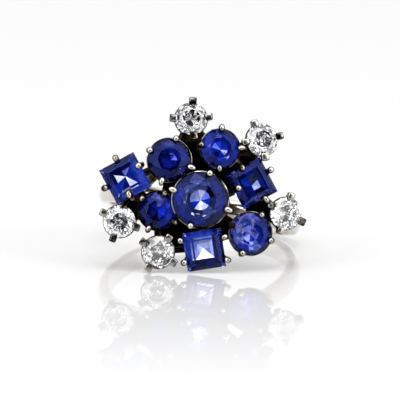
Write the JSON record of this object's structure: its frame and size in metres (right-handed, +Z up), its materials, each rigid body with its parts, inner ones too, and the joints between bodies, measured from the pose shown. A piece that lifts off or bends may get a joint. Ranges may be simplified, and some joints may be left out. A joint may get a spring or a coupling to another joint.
{
  "type": "sapphire and diamond cluster ring",
  "caption": "Cocktail ring lying on its side: a domed cluster of round and square sapphires and brilliant diamonds in claw settings on a half-round shank.",
  "frame": {"origin": "on the surface that the ring lies on, under the middle of its box", "axes": "+Z is up, the finger hole opens upwards, leaning a little, and the jewelled face points towards -Y with +X to its right as it is seen"},
  "size_m": [0.0194, 0.0248, 0.016],
  "materials": {
    "platinum": "polished",
    "sapphire": "faceted and polished",
    "diamond": "faceted and polished"
  },
  "bodies": {
    "root": {"ring_mount": "platinum", "sapphire_centre": "sapphire", "sapphire_upper_left": "sapphire", "sapphire_upper_right": "sapphire", "sapphire_lower_left": "sapphire", "sapphire_lower_right": "sapphire", "sapphire_square_left": "sapphire", "sapphire_square_right": "sapphire", "sapphire_square_bottom": "sapphire", "diamond_top": "diamond", "diamond_upper_right": "diamond", "diamond_right": "diamond", "diamond_lower_left": "diamond", "diamond_left": "diamond"}
  },
  "joints": []
}
